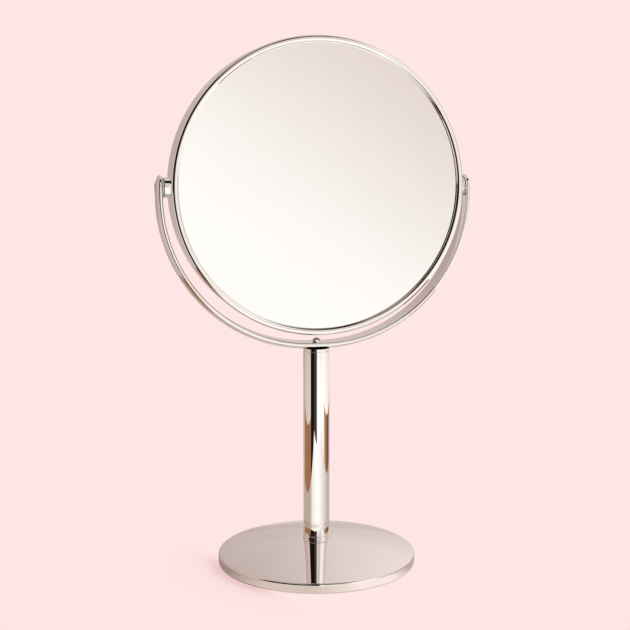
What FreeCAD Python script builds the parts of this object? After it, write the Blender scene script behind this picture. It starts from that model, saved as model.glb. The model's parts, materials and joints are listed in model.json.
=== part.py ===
import FreeCAD, Part
import math
import os

# Table mirror: a two-sided round mirror head that turns between the arms of a U-shaped yoke,
# on a pole with a domed, weighted base. Millimetres and degrees; Z is up and the front is -Y.
# The origin is on the floor, under the middle of the base.

# Base
base_diameter = 104.0
base_lift = 0.5  # how far the pad holds the shell's lower edge off the floor
rim_height = 4.4
rim_edge_radius = 1.2
dome_rise = 7.25
dome_bulge = 0.7  # how far the dome stands above a straight cone, halfway up
foot_land_margin = 1.6  # flat land left around the foot collar
shell_wall = 1.0
pad_thickness = 1.5
pad_margin = 1.2
weight_clearance = 0.3

# Bolt that ties base, foot collar and pole together
bolt_diameter = 6.0
bolt_head_flats = 10.0
bolt_head_height = 4.0
bolt_grip = 12.0  # length of the bolt inside the threaded plug
bolt_hole_clearance = 0.3
bolt_head_cover = 0.2  # air between the bolt head and the pad
flat_washer_diameter = 14.0
flat_washer_thickness = 1.2
spring_washer_diameter = 10.5
spring_washer_thickness = 1.5
spring_washer_slit = 1.2
counterbore_clearance = 0.5

# Pole
pole_diameter = 13.8
pole_wall = 1.0
pole_length = 98.3
foot_collar_height = 2.1
foot_collar_flange = 0.2  # how far the foot collar stands out past the pole
top_collar_height = 1.4
collar_groove_height = 0.5
collar_groove_depth = 0.4
spigot_length = 4.0
plug_length = 18.0
tube_fit = 0.03
thread_fit = 0.05

# Yoke
yoke_width = 12.6
yoke_edge_thickness = 2.1
yoke_crown = 1.4  # how far the strip's outer face stands out in the middle of its width
yoke_edge_radius = 0.9
yoke_gap = 3.65  # air between the mirror frame and the arms
yoke_arm_straight = 4.35  # straight part of an arm below its pivot
yoke_foot_flat = 6.6  # straight part between the two bends
yoke_seat_depth = 0.2  # how deep the strip's round outer face lies in the top collar
yoke_screw_diameter = 3.0
yoke_screw_head_diameter = 5.0
yoke_screw_head_height = 2.1
yoke_screw_head_edge = 0.4  # upright edge below the domed part of the screw head
yoke_screw_grip = 12.0
yoke_screw_socket = 2.0
yoke_screw_socket_depth = 1.2

# Mirror head
frame_diameter = 150.5
frame_depth = 23.7
bead_width = 3.7
hoop_wall = 1.2
skirt_wall = 1.0
skirt_overrun = 0.1  # how far a bezel's skirt reaches past the edge of the thicker glass
skirt_fit = 0.05
glass_thickness = 3.0
glass_edge_clearance = 0.1
magnifier_thickness = 2.5
magnifier_radius = 750.0  # concave mirror with a focal length of half this radius
board_thickness = 1.5
spacer_ring_width = 3.0
spacer_ring_clearance = 0.1
rest_tilt = 0.7  # the top of the head leans towards the front

# Pivots of the head
stud_diameter = 4.0
stud_thread_diameter = 3.0
stud_running_fit = 0.05
stud_flange_diameter = 6.6
stud_flange_height = 0.8
pivot_spacer_diameter = 10.2
pivot_spacer_edge = 0.3
friction_washer_diameter = 9.6
friction_washer_thickness = 0.8
friction_washer_running_gap = 0.05
pivot_hole_clearance = 0.1
lock_washer_margin = 0.1  # how far the nut stands out past the plate washer under it
lock_washer_thickness = 0.5
pivot_nut_length = 8.0
pivot_nut_height = 2.4
nut_side_clearance = 0.4  # air between the nut and the two glasses
stud_overrun = 0.3  # thread left past the nut
nut_clearance = 0.5  # air between the stud's end and the spacer ring

# Sizes that follow from the driving dimensions
base_radius = base_diameter / 2
pole_radius = pole_diameter / 2
tube_bore = pole_radius - pole_wall
foot_collar_radius = pole_radius + foot_collar_flange
land_radius = foot_collar_radius + foot_land_margin
rim_top = base_lift + rim_height
foot_z = rim_top + dome_rise
bolt_hole_radius = bolt_diameter / 2 + bolt_hole_clearance
tube_foot_z = foot_z + foot_collar_height
tube_top_z = tube_foot_z + pole_length
top_collar_z = tube_top_z + top_collar_height
frame_radius = frame_diameter / 2
arm_inner_x = frame_radius + yoke_gap
arm_edge_x = arm_inner_x + yoke_edge_thickness
arm_outer_x = arm_edge_x + yoke_crown
bend_x = yoke_foot_flat / 2
bend_inner_radius = arm_inner_x - bend_x
yoke_foot_z = top_collar_z - yoke_seat_depth
yoke_floor_z = yoke_foot_z + yoke_edge_thickness + yoke_crown
bend_z = yoke_floor_z + bend_inner_radius
pivot_z = bend_z + yoke_arm_straight
crown_reach = yoke_width / 2 - yoke_edge_radius  # half the width of the strip's round outer face
crown_radius = (crown_reach ** 2 + yoke_crown ** 2) / (2 * yoke_crown)
bead_radius = bead_width / 2
hoop_half_depth = frame_depth / 2 - bead_radius
hoop_bore = frame_radius - hoop_wall
skirt_outer_radius = hoop_bore - skirt_fit
skirt_inner_radius = skirt_outer_radius - skirt_wall
glass_radius = skirt_inner_radius - glass_edge_clearance
thicker_glass = max(glass_thickness, magnifier_thickness)
skirt_length = thicker_glass + skirt_overrun
pivot_room = hoop_half_depth - thicker_glass  # from the pivot axis to the nearer glass
pivot_nut_width = 2 * (pivot_room - nut_side_clearance)
lock_washer_width = pivot_nut_width - 2 * lock_washer_margin
lock_washer_length = pivot_nut_length - 2 * lock_washer_margin

SAME_POINT = 1e-6  # points closer than this are one point
SAME_SIZE = 1e-4  # measures closer than this are equal

UP = FreeCAD.Vector(0, 0, 1)
ALONG_X = FreeCAD.Vector(1, 0, 0)
ALONG_Y = FreeCAD.Vector(0, 1, 0)
CENTRE = FreeCAD.Vector(0, 0, 0)


def in_xz(x, z):
    return FreeCAD.Vector(x, 0, z)


def in_xy(x, y):
    return FreeCAD.Vector(x, y, 0)


def outline(first, *steps):
    """Closed flat face; a step is a corner, or a pair: a point on an arc and the arc's end."""
    edges = []
    here = first
    for step in steps:
        if isinstance(step, tuple):
            through, end = step
            edges.append(Part.Arc(here, through, end).toShape())
        else:
            end = step
            edges.append(Part.LineSegment(here, end).toShape())
        here = end
    if here.distanceToPoint(first) > SAME_POINT:
        edges.append(Part.LineSegment(here, first).toShape())
    return Part.Face(Part.Wire(edges))


def turned(face, axis):
    return face.revolve(CENTRE, axis, 360)


def round_bar(radius, start, end, axis=UP):
    """Cylinder around an axis through the origin, from one distance along it to another."""
    return Part.makeCylinder(radius, end - start, axis * start, axis)


def ring(outer_radius, bore_radius, start, end, axis=UP):
    return round_bar(outer_radius, start, end, axis).cut(round_bar(bore_radius, start, end, axis))


def hexagon_bar(flats, start, end):
    """Upright six-sided bar around the pole's axis, from one height to another."""
    corner_radius = flats / math.sqrt(3)
    corners = []
    for step in range(7):
        angle = math.radians(60 * step + 30)
        x = corner_radius * math.cos(angle)
        y = corner_radius * math.sin(angle)
        corners.append(FreeCAD.Vector(x, y, start))
    return Part.Face(Part.makePolygon(corners)).extrude(UP * (end - start))


# The dome is one arc from the flat land around the pole to the top of the rim.
dome_inner = in_xz(land_radius, foot_z)
dome_outer = in_xz(base_radius, rim_top)
dome_chord = dome_outer - dome_inner
dome_normal = FreeCAD.Vector(-dome_chord.z, 0, dome_chord.x).normalize()
dome_middle = (dome_inner + dome_outer) * 0.5 + dome_normal * dome_bulge
dome_arc = Part.Arc(dome_inner, dome_middle, dome_outer).toShape().Curve


def dome_z(radius):
    """Height of the dome's outer surface at a distance from the pole's axis."""
    rise = math.sqrt(dome_arc.Radius ** 2 - (radius - dome_arc.Center.x) ** 2)
    return dome_arc.Center.z + math.copysign(rise, dome_bulge)


def under_dome(radius, drop):
    return in_xz(radius, dome_z(radius) - drop)


def base_shell():
    side = base_radius - shell_wall
    middle = (side + land_radius) / 2
    face = outline(
        in_xz(bolt_hole_radius, foot_z),
        dome_inner,
        (dome_middle, dome_outer),
        in_xz(base_radius, base_lift),
        in_xz(side, base_lift),
        under_dome(side, shell_wall),
        (under_dome(middle, shell_wall), in_xz(land_radius, foot_z - shell_wall)),
        in_xz(bolt_hole_radius, foot_z - shell_wall),
    )
    shell = turned(face, UP)
    rim_edges = [edge for edge in shell.Edges if is_circle(edge, base_radius, rim_top)]
    return shell.makeFillet(rim_edge_radius, rim_edges)


def is_circle(edge, radius, z):
    """True for a level circle around the pole's axis with this radius and height."""
    box = edge.BoundBox
    misses = (box.ZMin - z, box.ZMax - z, box.XMax - radius)
    return all(abs(miss) < SAME_SIZE for miss in misses)


# Heights of the pieces stacked under the base, from the pad upwards
bolt_head_z = pad_thickness + bolt_head_cover
spring_washer_z = bolt_head_z + bolt_head_height
flat_washer_z = spring_washer_z + spring_washer_thickness
counterbore_z = flat_washer_z + flat_washer_thickness
plug_foot_z = tube_foot_z + spigot_length


def base_weight():
    drop = shell_wall + weight_clearance
    side = base_radius - drop
    middle = (side + land_radius) / 2
    land_z = foot_z - shell_wall
    face = outline(
        in_xz(bolt_hole_radius, pad_thickness),
        in_xz(side, pad_thickness),
        under_dome(side, drop),
        (under_dome(middle, drop), in_xz(land_radius, land_z - weight_clearance)),
        in_xz(land_radius, land_z),
        in_xz(bolt_hole_radius, land_z),
    )
    counterbore = round_bar(flat_washer_diameter / 2 + counterbore_clearance, pad_thickness, counterbore_z)
    return turned(face, UP).cut(counterbore)


def base_pad():
    return round_bar(base_radius - shell_wall - pad_margin, 0, pad_thickness)


def base_bolt():
    head = hexagon_bar(bolt_head_flats, bolt_head_z, spring_washer_z)
    shank = round_bar(bolt_diameter / 2, bolt_head_z, plug_foot_z + bolt_grip)
    return head.fuse(shank).removeSplitter()


def base_flat_washer():
    return ring(flat_washer_diameter / 2, bolt_hole_radius, flat_washer_z, counterbore_z)


def base_spring_washer():
    washer = ring(spring_washer_diameter / 2, bolt_hole_radius, spring_washer_z, flat_washer_z)
    slit = Part.makeBox(spring_washer_diameter, spring_washer_slit, spring_washer_thickness)
    slit.translate(FreeCAD.Vector(0, -spring_washer_slit / 2, spring_washer_z))
    return washer.cut(slit)


def foot_collar():
    shelf_radius = pole_radius - collar_groove_depth
    groove_z = tube_foot_z - collar_groove_height
    spigot_radius = tube_bore - tube_fit
    face = outline(
        in_xz(bolt_hole_radius, foot_z),
        in_xz(foot_collar_radius, foot_z),
        in_xz(foot_collar_radius, groove_z),
        in_xz(shelf_radius, groove_z),
        in_xz(shelf_radius, tube_foot_z),
        in_xz(spigot_radius, tube_foot_z),
        in_xz(spigot_radius, plug_foot_z),
        in_xz(bolt_hole_radius, plug_foot_z),
    )
    return turned(face, UP)


def pole_tube():
    return ring(pole_radius, tube_bore, tube_foot_z, tube_top_z)


def lower_plug():
    bore = bolt_diameter / 2 + thread_fit
    return ring(tube_bore - tube_fit, bore, plug_foot_z, plug_foot_z + plug_length)


# Heights of the pieces at the top of the pole
upper_plug_z = tube_top_z - spigot_length
screw_hole_radius = yoke_screw_diameter / 2 + bolt_hole_clearance
screw_seat_reach = max(yoke_screw_head_diameter / 2 - bend_x, 0)  # how far the head lies over the bends
screw_seat_z = bend_z - math.sqrt(bend_inner_radius ** 2 - screw_seat_reach ** 2)


def upper_plug():
    bore = yoke_screw_diameter / 2 + thread_fit
    return ring(tube_bore - tube_fit, bore, upper_plug_z - plug_length, upper_plug_z)


def top_collar():
    """Ring between pole and yoke, with a shallow seat for the yoke's round underside."""
    shelf_radius = pole_radius - collar_groove_depth
    spigot_radius = tube_bore - tube_fit
    face = outline(
        in_xz(screw_hole_radius, upper_plug_z),
        in_xz(spigot_radius, upper_plug_z),
        in_xz(spigot_radius, tube_top_z),
        in_xz(shelf_radius, tube_top_z),
        in_xz(shelf_radius, tube_top_z + collar_groove_height),
        in_xz(pole_radius, tube_top_z + collar_groove_height),
        in_xz(pole_radius, top_collar_z),
        in_xz(screw_hole_radius, top_collar_z),
    )
    seat = round_bar(crown_radius, -pole_diameter, pole_diameter, ALONG_X)
    seat.translate(UP * (yoke_foot_z + crown_radius))
    return turned(face, UP).cut(seat)


def arm_section():
    """Section of the right arm in the XY plane: flat inside, round outside, all corners rounded."""
    half = yoke_width / 2
    near = arm_inner_x + yoke_edge_radius
    far = arm_edge_x - yoke_edge_radius
    cut = yoke_edge_radius * (1 - math.sqrt(0.5))
    return outline(
        in_xy(near, -half),
        in_xy(far, -half),
        (in_xy(arm_edge_x - cut, -half + cut), in_xy(arm_edge_x, -crown_reach)),
        (in_xy(arm_outer_x, 0), in_xy(arm_edge_x, crown_reach)),
        (in_xy(arm_edge_x - cut, half - cut), in_xy(far, half)),
        in_xy(near, half),
        (in_xy(arm_inner_x + cut, half - cut), in_xy(arm_inner_x, crown_reach)),
        in_xy(arm_inner_x, -crown_reach),
        (in_xy(arm_inner_x + cut, -half + cut), in_xy(near, -half)),
    )


def arm_tip():
    """Round end of the right arm: half a disc around the pivot, with the arm's section."""
    half = yoke_width / 2
    near = arm_inner_x + yoke_edge_radius
    far = arm_edge_x - yoke_edge_radius
    cut = yoke_edge_radius * (1 - math.sqrt(0.5))
    half_way = crown_reach / 2
    half_way_x = arm_outer_x - crown_radius + math.sqrt(crown_radius ** 2 - half_way ** 2)
    half_section = outline(
        in_xy(arm_inner_x, 0),
        in_xy(arm_outer_x, 0),
        (in_xy(half_way_x, half_way), in_xy(arm_edge_x, crown_reach)),
        (in_xy(arm_edge_x - cut, half - cut), in_xy(far, half)),
        in_xy(near, half),
        (in_xy(arm_inner_x + cut, half - cut), in_xy(arm_inner_x, crown_reach)),
    )
    return half_section.revolve(CENTRE, ALONG_X, 180)


def yoke():
    """Strip bent to a U: a short flat foot, two quarter bends, two short straight arms with round tips."""
    arm = arm_section().extrude(UP * -yoke_arm_straight)
    bend_start = arm_section().translated(UP * -yoke_arm_straight)
    bend_middle = FreeCAD.Vector(bend_x, 0, -yoke_arm_straight)
    bend = bend_start.revolve(bend_middle, ALONG_Y, 90)
    foot = bend_start.rotated(bend_middle, ALONG_Y, 90).extrude(ALONG_X * -yoke_foot_flat)
    right_side = (arm, bend, arm_tip())
    left_side = [to_left(piece) for piece in right_side]
    strip = foot.fuse([*right_side, *left_side]).removeSplitter()
    eyes = round_bar(stud_diameter / 2 + stud_running_fit, -arm_outer_x, arm_outer_x, ALONG_X)
    screw_hole = round_bar(screw_hole_radius, yoke_foot_z - pivot_z, 0)
    return strip.cut(eyes).cut(screw_hole).translated(UP * pivot_z)


def to_left(right_piece):
    return right_piece.rotated(CENTRE, UP, 180)


def yoke_screw():
    head_radius = yoke_screw_head_diameter / 2
    edge_z = screw_seat_z + yoke_screw_head_edge
    top_z = screw_seat_z + yoke_screw_head_height
    rise = top_z - edge_z
    dome_radius = (head_radius ** 2 + rise ** 2) / (2 * rise)
    half_way = head_radius / 2
    half_way_z = top_z - dome_radius + math.sqrt(dome_radius ** 2 - half_way ** 2)
    shank_radius = yoke_screw_diameter / 2
    tip_z = upper_plug_z - yoke_screw_grip
    face = outline(
        in_xz(0, tip_z),
        in_xz(shank_radius, tip_z),
        in_xz(shank_radius, screw_seat_z),
        in_xz(head_radius, screw_seat_z),
        in_xz(head_radius, edge_z),
        (in_xz(half_way, half_way_z), in_xz(0, top_z)),
    )
    socket = hexagon_bar(yoke_screw_socket, top_z - yoke_screw_socket_depth, top_z)
    return turned(face, UP).cut(socket)


# Places along the pivot axis on the right side, from the yoke inwards, in the head's own frame
washer_seat_reach = max(friction_washer_diameter / 2 - yoke_arm_straight, 0)
friction_washer_x = bend_x + math.sqrt(bend_inner_radius ** 2 - washer_seat_reach ** 2)
washer_inner_x = friction_washer_x - friction_washer_thickness
pivot_spacer_x = washer_inner_x - friction_washer_running_gap
lock_washer_x = math.sqrt(hoop_bore ** 2 - (lock_washer_length / 2) ** 2)
nut_x = lock_washer_x - lock_washer_thickness
nut_inner_x = nut_x - pivot_nut_height
stud_hole_radius = stud_diameter / 2 + pivot_hole_clearance
thread_hole_radius = stud_thread_diameter / 2 + pivot_hole_clearance
hoop_outside = round_bar(frame_radius, -frame_depth, frame_depth, ALONG_Y)


def friction_washer():
    outer_radius = friction_washer_diameter / 2
    return ring(outer_radius, stud_hole_radius, washer_inner_x, friction_washer_x, ALONG_X)


def pivot_spacer():
    """Bright collar between frame and arm, hollowed to the hoop and over the stud's flange."""
    outer = round_bar(pivot_spacer_diameter / 2, hoop_bore, pivot_spacer_x, ALONG_X)
    end_edges = [edge for edge in outer.Edges if edge.BoundBox.XMin > pivot_spacer_x - SAME_SIZE]
    outer = outer.makeChamfer(pivot_spacer_edge, end_edges)
    flange_room = round_bar(
        stud_flange_diameter / 2 + pivot_hole_clearance,
        hoop_bore,
        frame_radius + stud_flange_height + pivot_hole_clearance,
        ALONG_X,
    )
    stud_room = round_bar(stud_hole_radius, hoop_bore, arm_outer_x, ALONG_X)
    return outer.cut(flange_room).cut(stud_room).cut(hoop_outside)


def pivot_stud():
    """Shouldered pin: its thread pulls a flange against the hoop, its end is flush with the arm."""
    flange_x = frame_radius + stud_flange_height
    flange = round_bar(stud_flange_diameter / 2, hoop_bore, flange_x, ALONG_X).cut(hoop_outside)
    thread = round_bar(stud_thread_diameter / 2, nut_inner_x - stud_overrun, flange_x, ALONG_X)
    pin = round_bar(stud_diameter / 2, frame_radius, arm_outer_x, ALONG_X)
    return flange.fuse([thread, pin]).removeSplitter()


def pivot_plate(width, length, bore_radius, start, end):
    """Four-sided plate across the pivot axis, from one place along it to another, with a hole."""
    block = Part.makeBox(end - start, width, length)
    block.translate(FreeCAD.Vector(start, -width / 2, -length / 2))
    return block.cut(round_bar(bore_radius, start, end, ALONG_X))


def lock_washer():
    return pivot_plate(lock_washer_width, lock_washer_length, thread_hole_radius, nut_x, lock_washer_x)


def pivot_nut():
    """Plate nut that nearly fills the room between the two glasses, so that it can't turn."""
    bore_radius = stud_thread_diameter / 2 + thread_fit
    return pivot_plate(pivot_nut_width, pivot_nut_length, bore_radius, nut_inner_x, nut_x)


def frame_hoop():
    hoop = ring(frame_radius, hoop_bore, -hoop_half_depth, hoop_half_depth, ALONG_Y)
    return hoop.cut(round_bar(thread_hole_radius, -frame_radius, frame_radius, ALONG_X))


def front_bezel():
    """Half-round bead in front of hoop and glass, with a skirt that slides inside the hoop."""
    edge = -hoop_half_depth
    bead_middle = frame_radius - bead_radius
    face = outline(
        in_xy(frame_radius, edge),
        (in_xy(bead_middle, edge - bead_radius), in_xy(frame_radius - bead_width, edge)),
        in_xy(skirt_inner_radius, edge),
        in_xy(skirt_inner_radius, edge + skirt_length),
        in_xy(skirt_outer_radius, edge + skirt_length),
        in_xy(skirt_outer_radius, edge),
    )
    return turned(face, ALONG_Y)


def plain_glass():
    return round_bar(glass_radius, -hoop_half_depth, -hoop_half_depth + glass_thickness, ALONG_Y)


def sag(radius):
    """Depth of the concave mirror's curve at a distance from its middle."""
    return magnifier_radius - math.sqrt(magnifier_radius ** 2 - radius ** 2)


def magnifier_back(radius):
    """Silvered rear face of the concave mirror: its rim lies against the rear bead."""
    return in_xy(radius, hoop_half_depth - sag(glass_radius) + sag(radius))


def magnifier_front(radius):
    return magnifier_back(radius) - ALONG_Y * magnifier_thickness


def magnifying_glass():
    half_way = glass_radius / 2
    face = outline(
        magnifier_back(0),
        (magnifier_back(half_way), magnifier_back(glass_radius)),
        magnifier_front(glass_radius),
        (magnifier_front(half_way), magnifier_front(0)),
    )
    return turned(face, ALONG_Y)


board_front_y = -hoop_half_depth + glass_thickness
board_back_y = board_front_y + board_thickness
inner_radius = nut_inner_x - stud_overrun - nut_clearance


def backing_board():
    return round_bar(inner_radius, board_front_y, board_back_y, ALONG_Y)


def spacer_ring():
    """Keeps board and plain glass forward and the concave glass back, clear of the pivot nuts."""
    bore = inner_radius - spacer_ring_width
    end_y = magnifier_front(bore).y - spacer_ring_clearance
    return ring(inner_radius, bore, board_back_y, end_y, ALONG_Y)


def head_place(piece):
    """From the head's own frame to its place: tilted about the pivot axis and lifted to it."""
    return piece.rotated(CENTRE, ALONG_X, rest_tilt).translated(UP * pivot_z)


def assembly():
    stand = (
        base_shell, base_weight, base_pad, base_bolt, base_flat_washer, base_spring_washer,
        foot_collar, pole_tube, lower_plug, upper_plug, top_collar, yoke, yoke_screw,
    )
    pieces = {make.__name__: make() for make in stand}
    washer = friction_washer()
    pieces["friction_washer_right"] = washer.translated(UP * pivot_z)
    pieces["friction_washer_left"] = to_left(washer).translated(UP * pivot_z)

    head = (frame_hoop, front_bezel, plain_glass, magnifying_glass, backing_board, spacer_ring)
    for make in head:
        pieces[make.__name__] = head_place(make())
    pieces["rear_bezel"] = head_place(to_left(front_bezel()))
    for make in (pivot_spacer, pivot_stud, lock_washer, pivot_nut):
        right_piece = make()
        pieces[make.__name__ + "_right"] = head_place(right_piece)
        pieces[make.__name__ + "_left"] = head_place(to_left(right_piece))
    return pieces


os.makedirs("parts", exist_ok=True)
for name, shape in assembly().items():
    shape.exportStep(f"parts/{name}.step")
    print(f"{name}: {len(shape.Solids)} solid, {shape.Volume / 1000:.2f} cm3, valid {shape.isValid()}")
print(f"pivot axis at z {pivot_z:.2f}, height over all {pivot_z + frame_radius:.1f}")
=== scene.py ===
# %% [markdown]
# # A chrome vanity mirror
# The mirror is a round head in a beaded frame, hung between the arms of a U-shaped yoke on a slim pole
# with a weighted base. Its pieces already exist as solids at their real size. This lesson dresses them:
# it renews the polished pieces that need a finer surface, gives every piece its finish, and sets up the
# studio whose reflections make chrome look like chrome.

# %% Load the frame
import json
import math

import bpy
from mathutils import Matrix, Vector


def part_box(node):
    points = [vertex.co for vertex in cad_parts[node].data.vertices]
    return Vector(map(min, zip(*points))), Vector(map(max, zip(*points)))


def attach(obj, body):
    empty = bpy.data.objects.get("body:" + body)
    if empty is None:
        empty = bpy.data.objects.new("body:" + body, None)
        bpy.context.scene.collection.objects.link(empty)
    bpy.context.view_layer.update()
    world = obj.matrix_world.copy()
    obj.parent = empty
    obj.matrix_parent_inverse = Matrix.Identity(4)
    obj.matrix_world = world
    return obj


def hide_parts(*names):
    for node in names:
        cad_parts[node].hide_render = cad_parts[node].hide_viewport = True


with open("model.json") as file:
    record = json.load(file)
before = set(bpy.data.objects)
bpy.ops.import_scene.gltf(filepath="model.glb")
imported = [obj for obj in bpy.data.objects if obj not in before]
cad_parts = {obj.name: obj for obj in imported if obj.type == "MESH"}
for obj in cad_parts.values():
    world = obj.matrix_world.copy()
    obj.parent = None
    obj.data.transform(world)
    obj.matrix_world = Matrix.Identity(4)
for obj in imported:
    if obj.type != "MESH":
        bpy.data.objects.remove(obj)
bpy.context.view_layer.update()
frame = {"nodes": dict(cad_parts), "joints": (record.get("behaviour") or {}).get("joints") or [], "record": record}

nodes = frame["nodes"]

# %% [markdown]
# ## Measures
# A new piece has to sit where its solid sits. Boxes around the solids give most of the sizes, and the
# joint gives the pivot. What a box can't tell, such as a wall or a rounding, is written down.

# %% Measures from the frame
MM = 0.001


def outer_radius(node):
    low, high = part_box(node)
    return (high.x - low.x) / 2


pivot = Vector(frame["joints"][0]["pos_m"])
head_tilt = math.radians(0.7)  # the head's top leans to the front
frame_radius = outer_radius("frame_hoop")
base_radius = outer_radius("base_shell")
pole_radius = outer_radius("pole_tube")
print(f"pivot at {pivot.z / MM:.1f} mm, frame {2 * frame_radius / MM:.1f} mm across")

# %% [markdown]
# ## Sums on sockets
# A shader is a net of nodes, and a formula soon needs ten of them. Placing each by hand hides the
# formula. Here a small class wraps one output socket and lets Python's own operators add the nodes, so
# that `1 - mask` reads as it is meant. Values go through Math nodes; colours and vectors go through Mix
# and Vector Math, because a Math node would turn a colour grey.

# %% A socket that can be reckoned with
class Signal:
    """One socket of a node tree; operators on it add the nodes that work them out."""

    def __init__(self, tree, socket=None):
        self.tree = tree
        self.socket = socket

    def node(self, kind, settings=None, inputs=None, output=0):
        """Adds any node: its settings first, then the values or links of its sockets."""
        made = self.tree.nodes.new(kind)
        for name, value in (settings or {}).items():
            if name == "stops":
                set_stops(made.color_ramp, value)
            else:
                setattr(made, name, value)
        for name, value in (inputs or {}).items():
            if isinstance(value, Signal):
                self.tree.links.new(value.socket, made.inputs[name])
            else:
                made.inputs[name].default_value = value
        if made.outputs:
            return Signal(self.tree, made.outputs[output])

    def math(self, operation, first, second):
        return self.node("ShaderNodeMath", {"operation": operation}, {0: first, 1: second})

    def is_triple(self):
        return self.socket.type in {"VECTOR", "RGBA"}

    def __add__(self, other):
        if self.is_triple():
            return self.node("ShaderNodeVectorMath", {"operation": "ADD"}, {0: self, 1: other})
        return self.math("ADD", self, other)

    __radd__ = __add__

    def __mul__(self, other):
        if self.is_triple():
            return self.node("ShaderNodeVectorMath", {"operation": "SCALE"}, {0: self, "Scale": other})
        return self.math("MULTIPLY", self, other)

    __rmul__ = __mul__

    def __sub__(self, other):
        return self.math("SUBTRACT", self, other)

    def __rsub__(self, other):
        return self.math("SUBTRACT", other, self)

    def __truediv__(self, other):
        return self.math("DIVIDE", self, other)

    def __neg__(self):
        return self.math("MULTIPLY", self, -1.0)

    def step(self, low, high):
        """Rises softly from 0 to 1 as the value goes from low to high."""
        limits = {"Value": self, "From Min": low, "From Max": high}
        return self.node("ShaderNodeMapRange", {"interpolation_type": "SMOOTHSTEP"}, limits)

    def between(self, low, high):
        """Runs straight from one number to another as the value goes from 0 to 1."""
        return self * (high - low) + low

    def blend(self, first, second):
        """Mixes two colours, with this value as the share of the second."""
        sockets = {0: self, 6: first, 7: second}
        return self.node("ShaderNodeMix", {"data_type": "RGBA"}, sockets, output=2)

    def ramp(self, stops):
        """Colour at this value's place on a row of stops."""
        return self.node("ShaderNodeValToRGB", {"stops": stops}, {0: self})

    def part(self, axis):
        return self.node("ShaderNodeSeparateXYZ", None, {0: self}, output="XYZ".index(axis))


def set_stops(ramp, stops):
    """Gives a colour ramp its stops, as pairs of place and colour."""
    while len(ramp.elements) < len(stops):
        ramp.elements.new(0.5)
    for element, (place, colour) in zip(ramp.elements, stops):
        element.position = place
        element.color = colour


print("sockets can be added, multiplied and mixed")

# %% [markdown]
# ## Camera
# The photograph was taken from the mirror's left front, a little above the middle of the head. Distance,
# height, dip and focal length were found by fitting the ellipses of base and frame, so they are simply
# set here. A tracking constraint would also aim the camera, but then the framing could not be matched.

# %% Camera
camera_distance = 0.606
camera_height = 0.2114
camera_side = math.radians(13.0)
camera_dip = math.radians(7.55)
camera_turn = math.radians(0.07)

camera = bpy.data.objects.new("camera", bpy.data.cameras.new("camera"))
bpy.context.scene.collection.objects.link(camera)
camera.data.lens = 67.3
camera.data.sensor_width = 36.0
camera.location = (
    -camera_distance * math.sin(camera_side),
    -camera_distance * math.cos(camera_side),
    camera_height,
)
camera.rotation_euler = (math.pi / 2 - camera_dip, 0, camera_turn - camera_side)
bpy.context.scene.camera = camera
bpy.context.scene.view_settings.view_transform = "Standard"
print(f"camera at {[round(value, 3) for value in camera.location]} m")

# %% [markdown]
# ## Room
# Chrome has hardly a colour of its own: it shows the room. Pole and beads tell what stands around: a
# bright wall at front right, a dark corner and a doorway at front left, and warm grey everywhere behind.
# What the plain glass faces is white below and turns beige towards the upper right. A picture of a studio
# could be wrapped round the scene. A formula of azimuth and elevation is kept instead, because each of
# its stops can be explained.

# %% Room seen in the polish
DARK_CORNER = (0.010, 0.007, 0.006, 1)
DARK_STREAK = (0.075, 0.060, 0.055, 1)
WHITE_WALL = (1.06, 1.03, 0.99, 1)
BEIGE_WALL = (0.79, 0.68, 0.625, 1)
CREAM_WALL = (1.06, 0.92, 0.80, 1)
PALE_WALL = (0.88, 0.76, 0.71, 1)
BACK_WALL = (0.58, 0.475, 0.45, 1)
BACK_RIGHT_NEAR = (0.86, 0.745, 0.71, 1)
BACK_RIGHT_FAR = (0.74, 0.64, 0.61, 1)
GREY_WALL = (0.51, 0.405, 0.385, 1)
BACK_LEFT_WALL = (0.485, 0.375, 0.355, 1)
LEFT_WALL = (0.655, 0.53, 0.46, 1)
SIDE_WALL = (0.72, 0.60, 0.53, 1)
GREY_CEILING = (0.72, 0.61, 0.58, 1)


def around(degrees):
    """Place of an azimuth on a colour ramp; 0 is the front, and the right side counts up."""
    return degrees / 360 + 0.5


def azimuth_of(place):
    """Azimuth of a place or a direction, as a place on a colour ramp."""
    return place.math("ARCTAN2", place.part("X"), -place.part("Y")) / (2 * math.pi) + 0.5


def stretch_of(turn, rising, falling):
    """1 inside a stretch of azimuth and 0 outside; its soft edges are given in degrees."""
    return turn.step(*map(around, rising)) * (1 - turn.step(*map(around, falling)))


wall_stops = (
    (around(-180), BACK_WALL),
    (around(-172), GREY_WALL),
    (around(-149), BACK_LEFT_WALL),
    (around(-116), LEFT_WALL),
    (around(-66), SIDE_WALL),
    (around(-62), DARK_CORNER),
    (around(-33), DARK_CORNER),
    (around(-27), DARK_STREAK),
    (around(-21), DARK_STREAK),
    (around(-17), DARK_CORNER),
    (around(-10), DARK_CORNER),
    (around(-7), WHITE_WALL),
    (around(55), WHITE_WALL),
    (around(75), CREAM_WALL),
    (around(125), PALE_WALL),
    (around(150), BACK_RIGHT_NEAR),
    (around(161), BACK_RIGHT_FAR),
    (around(180), BACK_WALL),
)
ceiling_stops = (
    (around(-180), GREY_CEILING),
    (around(-125), GREY_WALL),
    (around(-40), GREY_WALL),
    (around(-28), DARK_CORNER),
    (around(66), DARK_CORNER),
    (around(90), WHITE_WALL),
    (around(125), PALE_WALL),
    (around(180), GREY_CEILING),
)
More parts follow.
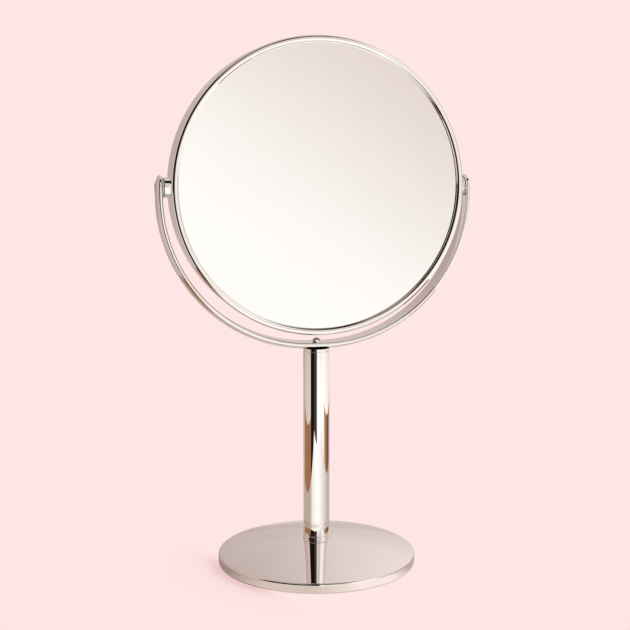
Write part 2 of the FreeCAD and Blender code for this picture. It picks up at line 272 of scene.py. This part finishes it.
# Heights in the room are sines of the elevation, from the start of a soft edge to its end
doorway_sill = (-0.10, -0.05)
low_light_edge = (-0.19, -0.15)
high_light_edge = (0.15, 0.40)
right_shade_edge = (-0.14, -0.08)
ceiling_edge = (0.74, 0.82)
low_gain, high_gain, right_loss = 0.14, 0.10, 0.30
beige_rise, beige_slant, beige_full = 5.5, 24.0, 1.8  # how fast white turns beige, upwards and rightwards


def make_room():
    room = bpy.data.worlds.new("room")
    room.use_nodes = True
    room.node_tree.nodes.clear()
    start = Signal(room.node_tree)
    direction = start.node("ShaderNodeTexCoord", output="Generated")
    upwards = direction.part("Z")
    turn = azimuth_of(direction)
    at_left = stretch_of(turn, (-86, -78), (-40, -36))
    before_glass = stretch_of(turn, (-7, -2), (23, 32))
    right_side = stretch_of(turn, (55, 70), (115, 125))
    doorway = at_left * upwards.step(*doorway_sill)
    beige = (upwards * beige_rise + (turn - 0.5) * beige_slant).step(0.0, beige_full) * before_glass
    low_light = 1 - upwards.step(*low_light_edge)
    high_light = upwards.step(*high_light_edge)
    right_shade = right_side * upwards.step(*right_shade_edge)
    gain = 1 + low_light * low_gain + high_light * high_gain - right_shade * right_loss
    walls = turn.ramp(wall_stops) * gain
    colour = beige.blend(doorway.blend(walls, DARK_CORNER), BEIGE_WALL)
    colour = upwards.step(*ceiling_edge).blend(colour, turn.ramp(ceiling_stops))
    background = start.node("ShaderNodeBackground", None, {"Color": colour})
    start.node("ShaderNodeOutputWorld", None, {"Surface": background})
    return room


bpy.context.scene.world = make_room()
print(f"room of {len(bpy.context.scene.world.node_tree.nodes)} nodes")

# %% [markdown]
# ## Turning on the lathe
# Base, pole, collar and beads are all turned pieces: a flat section swept round an axis. A Screw modifier
# would do that, but it averages the normals at every corner, and on chrome an averaged normal bends the
# reflection of a whole face. So the section is worked out here with its exact normals: each corner gets
# a small rounding, and the flats between two roundings stay perfectly flat.

# %% Section and lathe
ARC_STEP = math.radians(8)
ARC_LENGTH = 2 * MM
SAME_POINT = 1e-7


def rounded(corners):
    """Closed section through corners (radius, height, rounding) that keep the material on the left."""
    section = []
    for index, (radius, height, rounding) in enumerate(corners):
        here = Vector((radius, height))
        arriving = (here - Vector(corners[index - 1][:2])).normalized()
        leaving = (Vector(corners[(index + 1) % len(corners)][:2]) - here).normalized()
        first = Vector((arriving.y, -arriving.x))
        last = Vector((leaving.y, -leaving.x))
        bend = math.atan2(arriving.x * leaving.y - arriving.y * leaving.x, arriving.dot(leaving))
        reach = math.copysign(rounding, bend)
        centre = here - (first + last) * (reach / (1 + first.dot(last)))
        facing = math.atan2(first.y, first.x)
        steps = max(math.ceil(abs(bend) / ARC_STEP), math.ceil(abs(bend) * rounding / ARC_LENGTH), 2)
        for step in range(steps + 1):
            angle = facing + bend * step / steps
            normal = Vector((math.cos(angle), math.sin(angle)))
            point = centre + normal * reach
            if not section or (point - Vector(section[-1][:2])).length > SAME_POINT:
                section.append((*point, *normal))
    return section


def smooth_mesh(name, points, normals, faces):
    """Mesh that keeps the exact normal of every point."""
    mesh = bpy.data.meshes.new(name)
    mesh.from_pydata(points, [], faces)
    mesh.shade_smooth()
    mesh.normals_split_custom_set_from_vertices(normals)
    return mesh


def turned_mesh(name, section, turns, closed=True):
    """Turns a section about Z; each of its points is (radius, height, normal outwards, normal up)."""
    points, normals, faces = [], [], []
    for turn in range(turns):
        angle = 2 * math.pi * turn / turns
        for radius, height, out, up in section:
            points.append((radius * math.cos(angle), radius * math.sin(angle), height))
            normals.append((out * math.cos(angle), out * math.sin(angle), up))
    count = len(section)
    for turn in range(turns):
        here = turn * count
        there = (turn + 1) % turns * count
        for index in range(count if closed else count - 1):
            after = (index + 1) % count
            faces.append((here + index, there + index, there + after, here + after))
    return smooth_mesh(name, points, normals, faces)


def add_object(name, mesh, place=Matrix.Identity(4)):
    made = bpy.data.objects.new(name, mesh)
    bpy.context.scene.collection.objects.link(made)
    made.matrix_world = place
    return made


print(f"an arc of a section has a point every {math.degrees(ARC_STEP):.0f} degrees or less")

# %% [markdown]
# ## Floor and backdrop
# The mirror stands on a plain pink ground without a horizon. A photographer hangs a sheet of paper in a
# curve; here one bowl is turned all round the object, so every other view has the same ground. It glows
# in its own colour and darkens only where the base shuts the light off, which keeps the ground even. The
# shade is soft and wide at the left, away from the light. The bowl is seen by the camera alone. What lies
# around the mirror in the polish is a second sheet, a white cloth on a wooden table with a low rail
# round it, which the camera never sees. That sheet glows, and light and shade are painted on its cloth:
# bright in front, shaded to the left, right and back, and darker at the foot of the base.

# %% Stage
PINK = (0.991, 0.791, 0.783, 1)
CONTACT_SHADE = (0.16, 0.105, 0.095, 1)
SOFT_SHADE = (0.50, 0.10, 0.10, 1)
# painted light and shade: lit and shaded copies of the white cloth, brightest in front, shaded left, right and
# back
CLOTH_LIT = (1.17, 1.14, 1.09, 1)
CLOTH_HALF_LIGHT = (1.02, 0.96, 0.90, 1)
CLOTH_SHADED_LEFT = (0.56, 0.45, 0.38, 1)
CLOTH_SHADED_RIGHT = (0.58, 0.485, 0.45, 1)
CLOTH_SHADED_BACK = (0.74, 0.63, 0.60, 1)
FOOT_SHADE = (0.38, 0.28, 0.25, 1)
FOOT_HALF_LIGHT = (0.76, 0.63, 0.57, 1)
FOOT_LIGHT = (1.08, 0.93, 0.88, 1)
FOOT_DIM = (0.57, 0.46, 0.43, 1)
TABLE_BACK = (0.59, 0.485, 0.46, 1)
TABLE_BACK_RIGHT = (0.79, 0.68, 0.65, 1)
WOOD = (0.40, 0.18, 0.085, 1)
PALE_WOOD = (0.62, 0.36, 0.22, 1)
DARK_WOOD = (0.22, 0.10, 0.045, 1)
bowl_radius = 2.0
shade_reach = 0.03  # how far the base's shade spreads over the ground
lee_x, lee_y = -0.94, -0.34  # the way that the soft shade falls
lee_edge = (0.040, 0.052)
soft_gain, soft_most = 1.4, 0.30
contact_edge = (0.42, 0.92)
contact_share, contact_lee = 0.45, 0.5
foot_edge = (0.064, 0.080)  # from the ground at the foot to the open cloth
cloth_left, cloth_right, cloth_back = -0.137, 0.182, 0.160
cloth_skew = 0.12
cloth_edge = 2 * MM

# painted light and shade of the cloth, by azimuth round the mirror
cloth_light_stops = (
    (around(-180), CLOTH_SHADED_BACK),
    (around(-140), CLOTH_SHADED_LEFT),
    (around(-66), CLOTH_SHADED_LEFT),
    (around(-48), CLOTH_HALF_LIGHT),
    (around(-10), CLOTH_LIT),
    (around(5), CLOTH_LIT),
    (around(98), CLOTH_SHADED_RIGHT),
    (around(130), CLOTH_SHADED_RIGHT),
    (around(180), CLOTH_SHADED_BACK),
)
foot_stops = (
    (around(-180), FOOT_SHADE),
    (around(-80), FOOT_SHADE),
    (around(-45), FOOT_HALF_LIGHT),
    (around(-15), FOOT_HALF_LIGHT),
    (around(15), FOOT_LIGHT),
    (around(40), FOOT_LIGHT),
    (around(60), FOOT_DIM),
    (around(120), FOOT_DIM),
    (around(180), FOOT_SHADE),
)
beyond_stops = (
    (around(-180), TABLE_BACK),
    (around(-138), TABLE_BACK),
    (around(-130), WOOD),
    (around(-63), WOOD),
    (around(-61), DARK_CORNER),
    (around(-10), DARK_CORNER),
    (around(-8), CLOTH_LIT),
    (around(53), CLOTH_LIT),
    (around(59), PALE_WOOD),
    (around(92), DARK_WOOD),
    (around(120), DARK_WOOD),
    (around(128), TABLE_BACK_RIGHT),
    (around(180), TABLE_BACK),
)


def stage_material(name, surface):
    """Material of the stage; surface is a function that returns its shader."""
    material = bpy.data.materials.new(name)
    material.use_nodes = True
    material.node_tree.nodes.clear()
    start = Signal(material.node_tree)
    start.node("ShaderNodeOutputMaterial", None, {"Surface": surface(start)})
    return material


def put_on_stage(piece, surface, seen_by_camera):
    piece.data.materials.append(stage_material(piece.name, surface))
    piece.visible_camera = seen_by_camera
    piece.visible_glossy = not seen_by_camera
    piece.visible_diffuse = False
    piece.visible_shadow = False
    piece.visible_transmission = False


def glow(start, colour):
    return start.node("ShaderNodeEmission", None, {"Color": colour})


def pink_ground(start):
    near = {"Distance": shade_reach}
    open_sky = start.node("ShaderNodeAmbientOcclusion", {"samples": 16}, near, output="AO")
    shade = 1 - open_sky
    place = start.node("ShaderNodeNewGeometry", output="Position")
    lee = (place.part("X") * lee_x + place.part("Y") * lee_y).step(*lee_edge)
    soft = start.math("MINIMUM", shade * soft_gain, soft_most) * lee
    ground = soft.blend(PINK, SOFT_SHADE)
    deep = shade.step(*contact_edge) * (contact_share + lee * contact_lee)
    return glow(start, deep.blend(ground, CONTACT_SHADE))


def bare_table(start):
    turn = azimuth_of(start.node("ShaderNodeNewGeometry", output="Position"))
    return glow(start, turn.ramp(beyond_stops))


def past_edge(distance, edge):
    return distance.step(edge - cloth_edge, edge + cloth_edge)


def cloth_on_table(start):
    place = start.node("ShaderNodeNewGeometry", output="Position")
    across = place.part("X")
    towards = -place.part("Y")
    turn = azimuth_of(place)
    radius = start.node("ShaderNodeVectorMath", {"operation": "LENGTH"}, {0: place}, output="Value")
    # painted light and shade: the cloth changes with azimuth and is darker at the foot of the base
    cloth = radius.step(*foot_edge).blend(turn.ramp(foot_stops), turn.ramp(cloth_light_stops))
    past_left = 1 - past_edge(across + towards * cloth_skew, cloth_left)
    past_right = past_edge(across, cloth_right)
    past_back = past_edge(-towards, cloth_back)
    past = start.math("MAXIMUM", start.math("MAXIMUM", past_left, past_right), past_back)
    return glow(start, past.blend(cloth, turn.ramp(beyond_stops)))


def bowl_section(steps):
    """Round dome from near its top downwards, then flat ground to the middle."""
    section = []
    for step in range(1, steps + 1):
        lift = math.pi / 2 * (1 - step / steps)
        out = math.cos(lift)
        section.append((bowl_radius * out, bowl_radius * math.sin(lift), -out, -math.sin(lift)))
    section.append((bowl_radius / 2, 0, 0, 1))
    section.append((MM, 0, 0, 1))
    return section


bowl = add_object("bowl", turned_mesh("bowl", bowl_section(12), turns=48, closed=False))
put_on_stage(bowl, pink_ground, seen_by_camera=True)


def add_card(name, corners, surface):
    """Flat sheet through four corners that shows only in the polish."""
    mesh = bpy.data.meshes.new(name)
    mesh.from_pydata(corners, [], [(0, 1, 2, 3)])
    put_on_stage(add_object(name, mesh), surface, seen_by_camera=False)


table_left, table_right = -0.220, 0.250
table_front, table_back = -0.265, 0.300
table_z = -0.1 * MM  # just under the base, so the two never fight for the same place
rail_top = 25 * MM
rail_left_front, rail_right_front = -0.11, -0.18
add_card("table", [
    (table_left, table_front, table_z),
    (table_right, table_front, table_z),
    (table_right, table_back, table_z),
    (table_left, table_back, table_z),
], cloth_on_table)
rail_line = [
    (table_left, rail_left_front),
    (table_left, table_back),
    (table_right, table_back),
    (table_right, rail_right_front),
]
for (x, y), (next_x, next_y) in zip(rail_line, rail_line[1:]):
    add_card("rail", [
        (x, y, table_z),
        (next_x, next_y, table_z),
        (next_x, next_y, rail_top),
        (x, y, rail_top),
    ], bare_table)
print("stage: bowl for the camera, table with a rail for the polish")

# %% [markdown]
# ## Soft light
# Room and ground already light the chrome. The matt pieces, such as washers and pad, need a lamp to show
# their grain. One large area lamp hangs above the right shoulder of the camera. It is hidden from the
# polish, where it would draw a hard white square.

# %% Lamp
lamp = bpy.data.objects.new("soft_box", bpy.data.lights.new("soft_box", "AREA"))
bpy.context.scene.collection.objects.link(lamp)
lamp.data.shape = "DISK"
lamp.data.size = 0.6
lamp.data.energy = 6.0
lamp.location = (0.5, -0.6, 0.8)
lamp.rotation_euler = (Vector(lamp.location) - pivot).to_track_quat("Z", "Y").to_euler()
lamp.visible_glossy = False
print(f"lamp of {lamp.data.energy:.0f} W")

# %% [markdown]
# ## Base, collar and pole
# The base is a stamped dome with a low upright rim. Its top mirrors the room and the pole, so it shows
# any flaw of the mesh. The solids' meshes are exact to a few hundredths of a millimetre, which is enough
# for a dull finish and too coarse for a mirror finish. They are turned again here with more steps, and
# their edges get the small roundings that plating leaves on every edge.

# %% Stand pieces from the lathe
STAND_TURNS = 192
base_low, base_high = (corner.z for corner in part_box("base_shell"))
rim_top = 4.9 * MM
rim_rounding = 1.2 * MM
land_radius = 8.7 * MM
dome_bulge = 0.7 * MM
shell_wall = 1.0 * MM
shell_bore = 3.3 * MM
broken_edge = 0.2 * MM
corner_room = 1.0 * MM  # what a large arc leaves for the roundings beside it


def base_section():
    """The dome is an arc over a chord; its two end tangents and their meeting point are the corners."""
    outer = Vector((base_radius, rim_top))
    inner = Vector((land_radius, base_high))
    chord = inner - outer
    half = chord.length / 2
    dome_radius = (half ** 2 + dome_bulge ** 2) / (2 * dome_bulge)
    half_angle = math.asin(half / dome_radius)
    apex = (outer + inner) / 2 + Vector((chord.y, -chord.x)).normalized() * half * math.tan(half_angle)
    arc_share = 1 - corner_room / (apex - outer).length
    side = base_radius - shell_wall
    slope = (apex.y - outer.y) / (outer.x - apex.x)
    land_rounding = 9.0 * MM
    return rounded([
        (base_radius, base_low, broken_edge),
        (base_radius, rim_top, rim_rounding),
        (apex.x, apex.y, dome_radius * arc_share),
        (land_radius, base_high, land_rounding),
        (shell_bore, base_high, broken_edge),
        (shell_bore, base_high - shell_wall, broken_edge),
        (land_radius, base_high - shell_wall, land_rounding),
        (apex.x, apex.y - shell_wall, dome_radius * arc_share),
        (side, rim_top + slope * shell_wall - shell_wall, broken_edge),
        (side, base_low, broken_edge),
    ])


def collar_section():
    foot, top = (corner.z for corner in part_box("foot_collar"))
    flange = outer_radius("foot_collar")
    shelf_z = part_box("pole_tube")[0].z
    groove_z = shelf_z - 0.5 * MM
    groove = pole_radius - 0.4 * MM
    spigot = pole_radius - 1.03 * MM
    fine = 0.1 * MM
    return rounded([
        (shell_bore, foot, fine),
        (flange, foot, fine),
        (flange, groove_z, 2 * fine),
        (groove, groove_z, fine),
        (groove, shelf_z, fine),
        (spigot, shelf_z, fine),
        (spigot, top, fine),
        (shell_bore, top, fine),
    ])


def tube_section():
    foot, top = (corner.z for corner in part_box("pole_tube"))
    bore = pole_radius - 1.0 * MM
    return rounded([
        (pole_radius, foot, broken_edge),
        (pole_radius, top, broken_edge),
        (bore, top, broken_edge),
        (bore, foot, broken_edge),
    ])


def take_place(piece, node, body):
    """Puts a new piece in the place of a solid."""
    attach(piece, body)
    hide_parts(node)
    print(f"{piece.name}: {len(piece.data.polygons)} faces")
    return piece


def renew(node, section, turns, body, place=Matrix.Identity(4)):
    """Turns a piece anew and puts it in the place of its solid."""
    name = node + "_polished"
    piece = add_object(name, turned_mesh(name, section, turns), place)
    return take_place(piece, node, body)


stand_pieces = [
    renew("base_shell", base_section(), STAND_TURNS, "stand"),
    renew("foot_collar", collar_section(), STAND_TURNS, "stand"),
    renew("pole_tube", tube_section(), STAND_TURNS, "stand"),
]

# %% [markdown]
# ## Yoke
# The yoke is one length of half-round bar, flat inside and round outside, bent to a U and rounded at its
# ends. It could be a curve with a bevel, but a bevelled curve smooths its edges, and those narrow edges
# carry the black and white lines that make it look like metal. So its section is laid out point by point
# with exact normals, carried along the U, and turned half round at each end.

# %% Yoke from a bent bar
CROWN_STEPS, EYE_STEPS, EDGE_STEPS, BEND_STEPS, END_STEPS = 10, 12, 12, 64, 48
NO_AREA = 1e-12
yoke_low, yoke_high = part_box("yoke")
strip_half = (yoke_high.y - yoke_low.y) / 2
strip_edge = 2.1 * MM
strip_crown = 1.4 * MM
strip_rounding = 0.9 * MM
arm_inner = yoke_high.x - strip_edge - strip_crown
arm_straight = 4.35 * MM
foot_half = 3.3 * MM
eye_radius = 2.05 * MM


def arc(middle, radius, start, end, steps):
    """Points of an arc as (out, across) with their normals; angles are in degrees."""
    points = []
    for step in range(steps + 1):
        angle = math.radians(start + (end - start) * step / steps)
        normal = Vector((math.cos(angle), math.sin(angle)))
        points.append((*(Vector(middle) + normal * radius), *normal))
    return points


def strip_sections():
    """Half of the section from the eye over the edge to the inside, and the whole closed section."""
    reach = strip_half - strip_rounding
    crown_radius = (reach ** 2 + strip_crown ** 2) / (2 * strip_crown)
    middle = (strip_edge + strip_crown - crown_radius, 0)
    eye = math.degrees(math.asin(eye_radius / crown_radius))
    end = math.degrees(math.asin(reach / crown_radius))
    half = arc(middle, crown_radius, eye, end, CROWN_STEPS)
    half += arc((strip_edge - strip_rounding, reach), strip_rounding, 0, 90, EDGE_STEPS)
    half += arc((strip_rounding, reach), strip_rounding, 90, 180, EDGE_STEPS)
    other = [(out, -across, facing, -aside) for out, across, facing, aside in reversed(half)]
    whole = other + arc(middle, crown_radius, -eye, eye, EYE_STEPS)[1:-1] + half
    return half, whole + whole[:1]


def bar_rows(section):
    """Rows along the U, from the right arm's pivot to the left one's."""
    bend_radius = arm_inner - foot_half
    stations = [(arm_inner, 0.0, 0.0), (arm_inner, -arm_straight, 0.0)]
    for step in range(1, BEND_STEPS + 1):
        angle = math.pi / 2 * step / BEND_STEPS
        x = foot_half + bend_radius * math.cos(angle)
        stations.append((x, -arm_straight - bend_radius * math.sin(angle), angle))
    stations += [(-x, z, math.pi - angle) for x, z, angle in reversed(stations)]
    rows = []
    for x, z, angle in stations:
        cosine, sine = math.cos(angle), math.sin(angle)
        row = []
        for out, across, facing, aside in section:
            from_eye = math.sqrt(max(eye_radius ** 2 - across ** 2, 0)) if z == 0 else 0
            point = Vector((x + out * cosine, across, z - from_eye - out * sine))
            row.append((point, Vector((facing * cosine, aside, -facing * sine))))
        rows.append(row)
    return rows


def end_rows(half, side):
    """Rows of the half-round end of an arm; side is 1 at the right and -1 at the left."""
    rows = []
    for step in range(END_STEPS + 1):
        angle = math.pi * step / END_STEPS
        cosine, sine = math.cos(angle), math.sin(angle)
        row = []
        for out, across, facing, aside in half:
            point = Vector((side * (arm_inner + out), across * cosine, across * sine))
            row.append((point, Vector((side * facing, aside * cosine, aside * sine))))
        rows.append(row)
    return rows


def skinned_mesh(name, sheets):
    """Mesh over sheets of rows, whose members are pairs of a point and its outward normal."""
    points, normals, faces = [], [], []
    for rows in sheets:
        first, count = len(points), len(rows[0])
        for row in rows:
            points += [point for point, normal in row]
            normals += [normal for point, normal in row]
        for row in range(len(rows) - 1):
            for index in range(count - 1):
                here = first + row * count + index
                corners = (here, here + 1, here + count + 1, here + count)
                diagonal = points[corners[2]] - points[here]
                facing = diagonal.cross(points[corners[3]] - points[here + 1])
                if facing.length > NO_AREA:
                    faces.append(corners if facing.dot(normals[here]) > 0 else corners[::-1])
    return smooth_mesh(name, points, normals, faces)


half_section, whole_section = strip_sections()
yoke_sheets = [bar_rows(whole_section), end_rows(half_section, 1), end_rows(half_section, -1)]
yoke_mesh = skinned_mesh("yoke_polished", yoke_sheets)
yoke = add_object("yoke_polished", yoke_mesh, Matrix.Translation(pivot))
stand_pieces.append(take_place(yoke, "yoke", "stand"))

# %% [markdown]
# ## Beads of the frame
# A half-round bead runs round each glass, and a skirt behind it slides into the hoop. A corner whose
# rounding is half of the bead's width makes the half round. The head leans a little, so the pieces are
# turned upright and then laid along the head's own axis; the rear bead is the front one turned about.

# %% Beads
BEAD_TURNS = 288
bead_width = 3.7 * MM
hoop_half_depth = 10.0 * MM
hoop_bore = frame_radius - 1.2 * MM
skirt_fit = 0.05 * MM
skirt_wall = 1.0 * MM
skirt_length = 3.1 * MM
fine_edge = 0.02 * MM
head_place = Matrix.Translation(pivot) @ Matrix.Rotation(head_tilt, 4, "X")
lay_back = Matrix.Rotation(-math.pi / 2, 4, "X")
turn_about = Matrix.Rotation(math.pi, 4, "Z")


def bead_section():
    bead_inside = frame_radius - bead_width
    crown = -hoop_half_depth - bead_width / 2
    seat = -hoop_half_depth
    skirt_outside = hoop_bore - skirt_fit
    skirt_inside = skirt_outside - skirt_wall
    half_round = bead_width / 2 - fine_edge
    return rounded([
        (frame_radius, crown, half_round),
        (frame_radius, seat, fine_edge),
        (skirt_outside, seat, fine_edge),
        (skirt_outside, seat + skirt_length, fine_edge),
        (skirt_inside, seat + skirt_length, fine_edge),
        (skirt_inside, seat, fine_edge),
        (bead_inside, seat, fine_edge),
        (bead_inside, crown, half_round),
    ])


front_place = head_place @ lay_back
rear_place = head_place @ turn_about @ lay_back
head_pieces = [
    renew("front_bezel", bead_section(), BEAD_TURNS, "mirror_head", front_place),
    renew("rear_bezel", bead_section(), BEAD_TURNS, "mirror_head", rear_place),
]

# %% [markdown]
# ## Magnifying glass
# The rear glass is a shallow dish, ground to a sphere, so it enlarges what is near to it. In the solid's
# mesh the long triangles of the dish meet in its middle and show there as a small flake. The dish is
# turned again: two corners with the sphere's own radius as rounding make both faces of the glass.

# %% Magnifying glass
glass_fit = 0.1 * MM
glass_radius = hoop_bore - skirt_fit - skirt_wall - glass_fit
dish_radius = 750 * MM
dish_thickness = 2.5 * MM


def dish_section():
    lean = math.asin(glass_radius / dish_radius)
    corner = dish_radius * math.tan(lean / 2)
    rim = -hoop_half_depth
    middle = rim + dish_radius * (1 - math.cos(lean))
    rounding = dish_radius * (1 - corner_room / corner)
    centre, centre_edge = 0.02 * MM, 0.01 * MM
    return rounded([
        (centre, middle, centre_edge),
        (corner, middle, rounding),
        (glass_radius, rim, broken_edge),
        (glass_radius, rim + dish_thickness, broken_edge),
        (corner, middle + dish_thickness, rounding),
        (centre, middle + dish_thickness, centre_edge),
    ])


dish = renew(
    "magnifying_glass", dish_section(), STAND_TURNS, "mirror_head", rear_place)

# %% [markdown]
# ## Finishes
# Each finish is a Principled shader whose colour, roughness and bump come from procedural textures in
# the object's own coordinates, in metres, so that grain has its real size. Painted image textures could
# do the same, but would need unwrapping. One helper opens a material and hands out its first socket.

# %% Helper for finishes
def open_finish(name, **constants):
    """New material: a Principled shader with its constants set, and the place on the surface."""
    material = bpy.data.materials.new(name)
    material.use_nodes = True
    shader = material.node_tree.nodes["Principled BSDF"]
    for socket, value in constants.items():
        shader.inputs[socket.replace("_", " ")].default_value = value
    start = Signal(material.node_tree)
    place = start.node("ShaderNodeTexCoord", output="Object")
    return material, shader, place


def feed(shader, **signals):
    for socket, signal in signals.items():
        signal.tree.links.new(signal.socket, shader.inputs[socket.replace("_", " ")])


def grain(place, scale, detail=2.0, stretch=None):
    """Cloudy noise around 0.5; the scale is in waves per metre."""
    if stretch:
        place = place.node("ShaderNodeVectorMath", {"operation": "MULTIPLY"}, {0: place, 1: stretch})
    return place.node("ShaderNodeTexNoise", None, {"Vector": place, "Scale": scale, "Detail": detail})


def bumped(height, depth):
    return height.node("ShaderNodeBump", None, {"Height": height, "Distance": depth})


print("finishes can be opened and fed")

# %% [markdown]
# ### Chrome plate
# Bright chrome is a very smooth metal, slightly warm from the nickel under it. It looks lifeless when it
# is perfect, so a faint haze from polishing changes its roughness, and hair lines from wiping run across.

# %% Chrome
def chrome_plate(name):
    material, shader, place = open_finish(name, Metallic=1.0)
    haze = grain(place, 45.0)
    wiping = grain(place, 260.0, detail=4.0, stretch=(1.0, 0.12, 0.35))
    hair_lines = wiping.step(0.60, 0.72)
    tone = haze.blend((0.86, 0.845, 0.835, 1), (0.90, 0.89, 0.88, 1))
    feed(shader, Base_Color=tone, Roughness=0.012 + haze * 0.018 + hair_lines * 0.02)
    return material


chrome_stand = chrome_plate("chrome_stand")
chrome_frame = chrome_plate("chrome_frame")
print("chrome for stand and frame")

# %% [markdown]
# ### Silvered glass
# A mirror is silver behind clear glass. A real layer of glass would need refraction, which costs time and
# is lost in most exports. A smooth metal in the faint green-white of silvered glass looks the same from
# the front. The last trace of wiping stays as a breath of roughness.

# %% Mirror glass
def silvered_glass(name):
    material, shader, place = open_finish(name, Metallic=1.0)
    breath = grain(place, 30.0, detail=3.0).step(0.35, 0.75)
    tone = breath.blend((0.955, 0.957, 0.952, 1), (0.947, 0.948, 0.944, 1))
    feed(shader, Base_Color=tone, Roughness=0.002 + breath * 0.006)
    return material


plain_mirror = silvered_glass("plain_mirror")
magnifying_mirror = silvered_glass("magnifying_mirror")
print("silver for both glasses")

# %% [markdown]
# ### Steel of the fasteners
# The studs come from an automatic lathe, which leaves fine rings. The bolt, washers and nuts inside
# are zinc plated: bluish, cloudy and half dull.

# %% Steel
def turned_steel(name):
    material, shader, place = open_finish(name, Metallic=1.0)
    rings = grain(place, 2500.0, detail=1.0, stretch=(1.0, 0.05, 1.0))
    tone = rings.blend((0.42, 0.41, 0.39, 1), (0.66, 0.65, 0.63, 1))
    feed(shader, Base_Color=tone, Roughness=rings.between(0.16, 0.34), Normal=bumped(rings, 0.01 * MM))
    return material


def zinc_plate(name):
    material, shader, place = open_finish(name, Metallic=1.0)
    clouds = grain(place, 500.0, detail=5.0)
    tone = clouds.blend((0.50, 0.52, 0.54, 1), (0.74, 0.75, 0.74, 1))
    feed(shader, Base_Color=tone, Roughness=clouds.between(0.28, 0.48), Normal=bumped(clouds, 0.01 * MM))
    return material


screw_steel = turned_steel("screw_steel")
zinc_steel = zinc_plate("zinc_steel")
print("steel for studs, zinc for bolts")

# %% [markdown]
# ### Matt pieces
# Casting, rubber, nylon, moulded plastic and board differ in grain and colour more than in kind. Each is
# the same recipe: a fine grain for bump, a coarse one for colour. One function takes their numbers.

# %% Matt finishes
def matt(name, dark, light, coarse, fine, depth, roughness):
    """Coarse and fine are grain scales in waves per metre; depth is the height of the fine grain."""
    material, shader, place = open_finish(name)
    clouds = grain(place, coarse, detail=4.0)
    pits = grain(place, fine, detail=3.0)
    tone = (clouds * 0.6 + pits * 0.4).blend(dark, light)
    rough = pits.between(roughness - 0.08, roughness + 0.08)
    feed(shader, Base_Color=tone, Roughness=rough, Normal=bumped(pits, depth))
    return material


cast_weight = matt(
    "cast_weight", (0.10, 0.10, 0.105, 1), (0.26, 0.255, 0.25, 1), 120.0, 1400.0, 0.12 * MM, 0.72)
pad_rubber = matt(
    "pad_rubber", (0.025, 0.025, 0.028, 1), (0.085, 0.085, 0.09, 1), 200.0, 2600.0, 0.08 * MM, 0.85)
washer_nylon = matt(
    "washer_nylon", (0.78, 0.77, 0.73, 1), (0.90, 0.89, 0.86, 1), 150.0, 1800.0, 0.01 * MM, 0.42)
spacer_plastic = matt(
    "spacer_plastic", (0.06, 0.06, 0.062, 1), (0.15, 0.15, 0.15, 1), 100.0, 1200.0, 0.02 * MM, 0.5)
grey_board = matt(
    "grey_board", (0.33, 0.32, 0.30, 1), (0.56, 0.55, 0.52, 1), 220.0, 1600.0, 0.05 * MM, 0.88)
print("five matt finishes")

# %% [markdown]
# ## Dressing
# The record names a finish for every node. The solids that stay get the material of that name in their
# own slot, and the new pieces get the chrome or the magnifying mirror of the group they belong to.

# %% Every piece gets its finish
finishes = {
    "chrome_stand": chrome_stand,
    "chrome_frame": chrome_frame,
    "plain_mirror": plain_mirror,
    "magnifying_mirror": magnifying_mirror,
    "screw_steel": screw_steel,
    "zinc_steel": zinc_steel,
    "cast_weight": cast_weight,
    "pad_rubber": pad_rubber,
    "washer_nylon": washer_nylon,
    "spacer_plastic": spacer_plastic,
    "grey_board": grey_board,
}
for row in frame["record"]["subparts"]:
    nodes[row["node"]].material_slots[0].material = finishes[row["material_slot"]]
for piece in stand_pieces:
    piece.data.materials.append(chrome_stand)
for piece in head_pieces:
    piece.data.materials.append(chrome_frame)
dish.data.materials.append(magnifying_mirror)
new_pieces = stand_pieces + head_pieces + [dish]
print(f"{len(finishes)} finishes on {len(nodes)} solids and {len(new_pieces)} new pieces")
